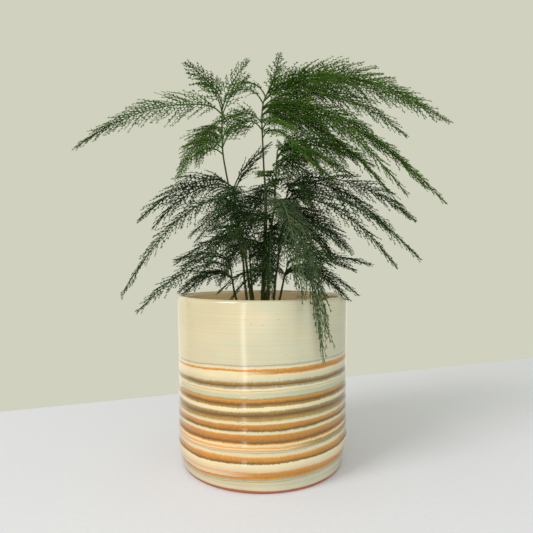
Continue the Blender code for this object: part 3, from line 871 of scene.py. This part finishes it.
def bend_frond(frond, root, length, wave_start, flat):
    """Carry points of a flat frond (along, across, lift) onto its bent rib, in millimetres.
    Near its root the rib curves out of the cane below it."""
    start, bend = root
    heading = math.radians(frond.heading)
    forward = np.array((math.cos(heading), math.sin(heading), 0.0))
    along, across, lift = flat[:, 0], flat[:, 1], flat[:, 2]
    share = np.maximum(0, along / length)[:, None]
    height = frond.rise * share - frond.drop * share ** 2
    rib = np.array(start) + forward * frond.reach * share + UP * height
    tangent = forward * frond.reach + UP * (frond.rise - 2 * frond.drop * share)
    tangent /= np.linalg.norm(tangent, axis=1, keepdims=True)
    level = np.cross(UP, forward)
    roll = math.radians(frond.roll)
    side = level * math.cos(roll) + np.cross(tangent, level) * math.sin(roll)
    out = np.cross(tangent, side)
    edge = np.abs(across) / frond.half_width
    wave = WAVE_HEIGHT * np.sin(along / WAVE_LENGTH * math.tau + wave_start) * edge
    sag = SIDE_SAG * frond.half_width * edge ** 2
    leaving = np.clip(1 - along / BEND_LENGTH, 0, 1)[:, None] ** 2
    return rib + bend * leaving + side * across[:, None] + out * (lift + wave - sag)[:, None]


def rib_length(frond):
    """The length of a frond's rib in millimetres."""
    share = np.linspace(0, 1, 21)
    steps = np.stack((frond.reach * share, frond.rise * share - frond.drop * share ** 2), 1)
    return float(np.linalg.norm(np.diff(steps, axis=0), axis=1).sum())


Sprig = namedtuple("Sprig", "foot direction size shade withered")


def lay_frond(frond, taper, fern, dice):
    """A frond laid flat: its rib and side branches as lines with radii, and where each sprig goes."""
    length = rib_length(frond)
    rib = np.stack((np.linspace(0, length, RIB_POINTS), np.zeros(RIB_POINTS), np.zeros(RIB_POINTS)), 1)
    lines = [(rib, np.linspace(*RIB_RADII, RIB_POINTS))]
    sprigs = []
    spacing = fern.branch_spacing / MM
    for side in (1, -1):
        place = FIRST_BRANCH if side > 0 else FIRST_BRANCH + spacing / 2
        while place < length - LAST_BRANCH:
            share = place / length
            spread = dice.uniform(-ANGLE_SPREAD, ANGLE_SPREAD)
            angle = math.radians(BASE_ANGLE + (TIP_ANGLE - BASE_ANGLE) * share + spread)
            swell = min(1, BASE_SHARE + SWELL_RATE * share)
            reach = frond.half_width * swell * (1 - share) ** taper * dice.uniform(*LENGTH_SPREAD)
            reach = min(reach + SHORTEST_BRANCH, length - place + TIP_TUFT)
            count = max(3, int(reach / BRANCH_PIECE) + 2)
            t = np.linspace(0, 1, count)
            turn = angle - math.radians(BRANCH_CURL) * t
            step = reach / (count - 1)
            u = place + np.concatenate(((0,), np.cumsum(np.cos(turn[1:]) * step)))
            v = side * np.concatenate(((0,), np.cumsum(np.sin(turn[1:]) * step)))
            lift = dice.uniform(-3.2, 3.2) * t + dice.uniform(-2.5, 1.5) * t ** 2
            branch = np.stack((u, v, lift * min(1, reach / 18)), 1)
            lines.append((branch, np.linspace(*BRANCH_RADII, count)))
            sprigs += dress_branch(branch, reach, fern, dice)
            place += spacing * (1 - CROWDING * share) * dice.uniform(0.8, 1.2)
    sprigs.append(Sprig(rib[-1], np.array((1.0, 0.0, 0.0)), 0.8, 0.5, 0.0))
    return length, lines, sprigs


def dress_branch(branch, reach, fern, dice):
    """The sprigs of a side branch, which lean to its two sides in turn and grow smaller to its tip."""
    steps = np.linalg.norm(np.diff(branch, axis=0), axis=1)
    travelled = np.concatenate(((0,), np.cumsum(steps)))
    found = []
    spacing = fern.sprig_spacing / MM
    tone = dice.uniform(0.25, 0.75)
    old = dice.random() < OLD_BRANCHES
    at = dice.uniform(*FIRST_SPRIG)
    turn = 1
    while at < travelled[-1]:
        share = at / travelled[-1]
        foot = np.array([np.interp(at, travelled, branch[:, i]) for i in range(3)])
        i = min(np.searchsorted(travelled, at), len(steps))
        along, across, up = (branch[i] - branch[i - 1]) / steps[i - 1]
        lean = turn * math.radians(dice.uniform(*SPRIG_LEAN)) * (1 - 0.35 * share)
        cosine, sine = math.cos(lean), math.sin(lean)
        direction = np.array((along * cosine - across * sine, along * sine + across * cosine,
                              up + dice.uniform(-0.3, 0.3)))
        size = SPRIG_SIZE[0] - (SPRIG_SIZE[0] - SPRIG_SIZE[1]) * share
        size *= dice.uniform(*SIZE_SPREAD) * min(1, 0.5 + reach / 30)
        withered = 0.75 * share ** 3 if old else 0.0
        found.append(Sprig(foot, direction, size, tone + dice.uniform(-0.25, 0.25), withered))
        turn = -turn
        at += spacing * dice.uniform(*SPACING_SPREAD)
    found.append(Sprig(branch[-1], (branch[-1] - branch[-2]) / steps[-1], 0.6, tone, 0.9 if old else 0.1))
    return found


def tube_arrays(name, lines, resolution):
    """Round lines with radii, drawn as one curve and converted to a mesh. Returns its arrays."""
    curve = bpy.data.curves.new(name, "CURVE")
    curve.dimensions = "3D"
    curve.bevel_depth = MM
    curve.bevel_resolution = resolution
    curve.use_fill_caps = True
    for points, radii in lines:
        spline = curve.splines.new("POLY")
        spline.points.add(len(points) - 1)
        packed = np.ones((len(points), 4))
        packed[:, :3] = points * MM
        spline.points.foreach_set("co", packed.ravel())
        spline.points.foreach_set("radius", radii)
    drawn = bpy.data.objects.new(name, curve)
    bpy.context.scene.collection.objects.link(drawn)
    deselect()
    drawn.select_set(True)
    bpy.context.view_layer.objects.active = drawn
    bpy.ops.object.convert(target="MESH")
    edit(drawn)
    bpy.ops.mesh.remove_doubles(threshold=0.005 * MM)
    deselect()
    corners, triangles = mesh_arrays(drawn.data)
    bpy.data.objects.remove(drawn)
    return corners / MM, triangles


def cane_line(stem, dice):
    """The line of a stem's cane, from inside the soil to where its last frond bends away."""
    route = smooth_route(stem.route, 3)
    length = sum((b - a).length for a, b in zip(route, route[1:]))
    shares = np.linspace(0, 1 - BEND_DROP / length, CANE_POINTS)
    points = np.array([point_along(route, share) for share in shares])
    knots = np.linspace(0, 1, CANE_KNOTS)
    for axis in (0, 1):
        wobble = dice.uniform(-CANE_WOBBLE, CANE_WOBBLE, CANE_KNOTS) * np.clip(knots * 4, 0, 1)
        points[:, axis] += np.interp(shares, knots, wobble)
    return np.concatenate((points[:1] - UP * (SPROUT - SOIL_TOP + STEM_DEPTH - 6), points))


def clump_shade_depth(points):
    """How deep each point lies in the dense middle of the plant, from 0 outside it to 1, which sets how much
    painted shade its needles get.
    """
    away = np.hypot(points[:, 0] - CLUMP_MIDDLE[0], points[:, 1] - CLUMP_MIDDLE[1])
    below = np.clip((CLUMP_TOP - points[:, 2]) / CLUMP_FADE, 0, 1)
    return np.clip(1.35 - away / CLUMP_RADIUS, 0, 1) * below


def frond_layers(stem, chosen):
    """The layers of the chosen fronds, each with its frond's place in the stem's row."""
    layers = []
    for i in chosen:
        full = 3 if stem.fronds[i].half_width > WIDE_FROND and stem.tint != "deep" else 2
        count = 1 if (stem.name, i) in OPEN_FRONDS else full
        layers += [(i, layer) for layer in LAYERS[:count] + MORE_LAYERS.get((stem.name, i), ())]
    return layers


def set_sprigs(shape, sprigs, carry, dice):
    """Sprigs of one kind, set in their places and carried onto the bent frond, with each corner's values,
    among them the painted shade of the clump's middle.
    """
    feet, directions, sizes, shades, withered = (np.array(values) for values in zip(*sprigs))
    axes = turned_axes(directions, dice.uniform(-SPRIG_TURN, SPRIG_TURN, len(sprigs)))
    corners = carry(copy_shape(shape, axes, sizes, feet).reshape(-1, 3))
    growth = np.zeros((len(sprigs), len(shape), 3))
    depth = clump_shade_depth(corners).reshape(len(sprigs), -1)
    # painted shade: needles in the middle of the clump are darkened to stand in for the shade there
    growth[..., 0] = np.clip(shades[:, None] - INNER_SHADE * depth, 0, 1)
    tips = np.clip(np.hypot(shape[:, 1], shape[:, 2]) / 3.0, 0, 1)
    growth[..., 1] = withered[:, None] * (0.5 + 0.5 * tips)
    return corners, growth.reshape(-1, 3)


def make_foliage(name, stem, number, chosen, tint, fern, sprig_kinds):
    """A wiry cane with some of its fronds, as one mesh. A stem's second piece has no cane."""
    rough = smooth_route(stem.route, 3)
    parts, lines = [], []
    if 0 in chosen:
        line = cane_line(stem, np.random.default_rng(50 + number))
        corners, triangles = tube_arrays(name + "_cane", [(line, np.linspace(*CANE_RADII, len(line)))], 2)
        parts.append((corners, triangles, np.tile(CANE_GROWTH, (len(corners), 1))))
    for i, layer in frond_layers(stem, chosen):
        base = stem.fronds[i]
        frond = base._replace(
            heading=base.heading + layer.turn, roll=base.roll + layer.roll, rise=base.rise + layer.rise,
            drop=base.drop * layer.drop, reach=base.reach * layer.size,
            half_width=base.half_width * layer.size)
        dice = np.random.default_rng(1000 * number + 10 * i + abs(layer.turn))
        at = frond.at + layer.at
        start = np.array(point_along(rough, at))
        lower = np.array(point_along(rough, max(0.02, at - 0.04)))
        bend = (lower - start) / np.linalg.norm(lower - start) * BEND_DROP
        wave_start = dice.uniform(0, math.tau)
        length, flat_lines, sprigs = lay_frond(frond, layer.taper, fern, dice)
        carry = partial(bend_frond, frond, (start, bend), length, wave_start)
        lines += [(carry(flat), radii) for flat, radii in flat_lines]
        kinds = dice.integers(0, len(sprig_kinds), len(sprigs))
        for kind, (shape, faces) in enumerate(sprig_kinds):
            alike = [sprig for sprig, drawn in zip(sprigs, kinds) if drawn == kind]
            if alike:
                corners, growth = set_sprigs(shape, alike, carry, dice)
                parts.append((corners, copy_faces(faces, len(shape), len(alike)), growth))
    corners, triangles = tube_arrays(name + "_branches", lines, 0)
    parts.append((corners, triangles, np.tile(BRANCH_GROWTH, (len(corners), 1))))
    starts = np.cumsum([0] + [len(part[0]) for part in parts])
    thing = object_from_arrays(
        name, np.concatenate([part[0] for part in parts]) * MM,
        np.concatenate([part[1] + first for part, first in zip(parts, starts)]),
        np.concatenate([part[2] for part in parts]))
    thing.data.materials.append(needle_material(tint + "_needles", getattr(fern, tint), fern))
    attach(thing, "root")
    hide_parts(stem.name)


class FERN_OT_leafy_stems(bpy.types.Operator):
    """Grow the ten leafy stems from their ribs, side branches and needle sprigs"""
    bl_idname = "fern.leafy_stems"
    bl_label = "Leafy stems"

    def execute(self, context):
        fern = context.scene.fern_foliage
        sprig_kinds = [model_sprig(fern, *kind, seed) for seed, kind in enumerate(SPRIG_KINDS)]
        for number, stem in enumerate(STEMS):
            name = stem.name.replace("stem_", "foliage_")
            fronds = tuple(range(len(stem.fronds)))
            pieces = [(name, fronds, stem.tint)]
            if len(fronds) > MOST_FRONDS:
                pieces = [(name, fronds[::2], stem.tint), (name + "_lower", fronds[1::2], stem.tint)]
            # painted light and shade: the frond that hangs in front, in the light, is paler than the rest of
            # its stem, whose other fronds inside the clump get the shaded darker green
            if stem.tint == "pale":
                pieces = [(name, fronds[:1], "pale"), (name + "_inner", fronds[1:], "deep")]
            for piece, chosen, tint in pieces:
                make_foliage(piece, stem, number, chosen, tint, fern, sprig_kinds)
        return {"FINISHED"}


def plain_material(name, tint):
    """Matte studio paper, rolled smooth: the eye sees an even tone with a faint grain."""
    made, tree, shader = new_material(name)
    add = partial(add_node, tree)
    place = add("TexCoord", output="Object")
    grain = add("TexNoise", {"Vector": place, "Scale": waves(PAPER_GRAIN), "Detail": 2.0})
    tone = add("MapRange", (grain, 0.3, 0.7, 0.985, 1.015))
    toned = add("VectorMath", {0: tint, "Scale": tone}, operation="SCALE")
    tree.links.new(toned, shader.inputs["Base Color"])
    shader.inputs["Roughness"].default_value = 0.9
    shader.inputs["Specular IOR Level"].default_value = 0.1
    return made


class FERN_OT_stage(bpy.types.Operator):
    """Set up the floor, the plain backdrop, the soft lights and the camera"""
    bl_idname = "fern.stage"
    bl_label = "Stage, lights and camera"

    def execute(self, context):
        settings = context.scene.fern_stage
        deselect()
        bpy.ops.mesh.primitive_plane_add(size=FLOOR_SIZE, location=(0, 0, 0))
        floor = bpy.context.object
        floor.name = "stage_floor"
        floor.data.materials.append(plain_material("pale_floor_paper", settings.floor))
        edit(floor)
        bpy.ops.mesh.bisect(
            plane_co=FLOOR_END, plane_no=FLOOR_END_NORMAL, use_fill=False, clear_outer=True)
        deselect()

        world = bpy.data.worlds.new("soft_studio")
        context.scene.world = world
        world.use_nodes = True
        sky = world.node_tree.nodes["Background"]
        sky.inputs["Color"].default_value = (*settings.backdrop, 1)
        sky.inputs["Strength"].default_value = 1.0

        for lamp in LAMPS:
            light = bpy.data.lights.new(lamp.name, "AREA")
            light.shape = "RECTANGLE"
            light.size, light.size_y = lamp.size
            light.energy = getattr(settings, lamp.power) if isinstance(lamp.power, str) else lamp.power
            light.color = lamp.tint
            thing = bpy.data.objects.new(lamp.name, light)
            context.scene.collection.objects.link(thing)
            thing.location = lamp.place
            thing.rotation_euler = (Vector(lamp.place) - Vector(lamp.aim)).to_track_quat("Z", "Y").to_euler()
            thing.visible_camera = False
            thing.visible_diffuse = lamp.lights
            thing.visible_glossy = lamp.reflects

        lens = bpy.data.cameras.new("photo_camera")
        lens.sensor_width = SENSOR_WIDTH
        lens.lens = FOCAL_PIXELS / PHOTO_WIDTH * SENSOR_WIDTH
        lens.clip_start = 0.01
        camera = bpy.data.objects.new("photo_camera", lens)
        context.scene.collection.objects.link(camera)
        camera.location = CAMERA_PLACE
        camera.rotation_euler = (math.pi / 2, 0, 0)
        context.scene.camera = camera
        context.scene.view_settings.view_transform = "Standard"
        return {"FINISHED"}


class FERN_PT_panel(bpy.types.Panel):
    """Lists each step of the fern with its settings"""
    bl_label = "Potted lace fern"
    bl_space_type = "VIEW_3D"
    bl_region_type = "UI"
    bl_category = "Lace fern"

    def draw(self, context):
        for title, operator, group in (
                ("Stage", FERN_OT_stage, context.scene.fern_stage),
                ("Pot", FERN_OT_pot, context.scene.fern_pot),
                ("Soil", FERN_OT_soil, None),
                ("Foliage", FERN_OT_leafy_stems, context.scene.fern_foliage)):
            box = self.layout.box()
            box.label(text=title)
            if group:
                for name in group.__annotations__:
                    box.prop(group, name)
            box.operator(operator.bl_idname)


CLASSES = (PotSettings, FernSettings, StageSettings, FERN_OT_stage, FERN_OT_pot, FERN_OT_soil,
           FERN_OT_leafy_stems, FERN_PT_panel)


def register():
    """Register the classes and hang the settings on the scene."""
    for item in CLASSES:
        bpy.utils.register_class(item)
    bpy.types.Scene.fern_pot = bpy.props.PointerProperty(type=PotSettings)
    bpy.types.Scene.fern_foliage = bpy.props.PointerProperty(type=FernSettings)
    bpy.types.Scene.fern_stage = bpy.props.PointerProperty(type=StageSettings)


def unregister():
    """Undo what register did."""
    del bpy.types.Scene.fern_stage
    del bpy.types.Scene.fern_foliage
    del bpy.types.Scene.fern_pot
    for item in reversed(CLASSES):
        bpy.utils.unregister_class(item)


def main():
    """Build the whole scene."""
    register()
    bpy.ops.fern.stage()
    bpy.ops.fern.pot()
    bpy.ops.fern.soil()
    bpy.ops.fern.leafy_stems()


if __name__ == "__main__":
    main()
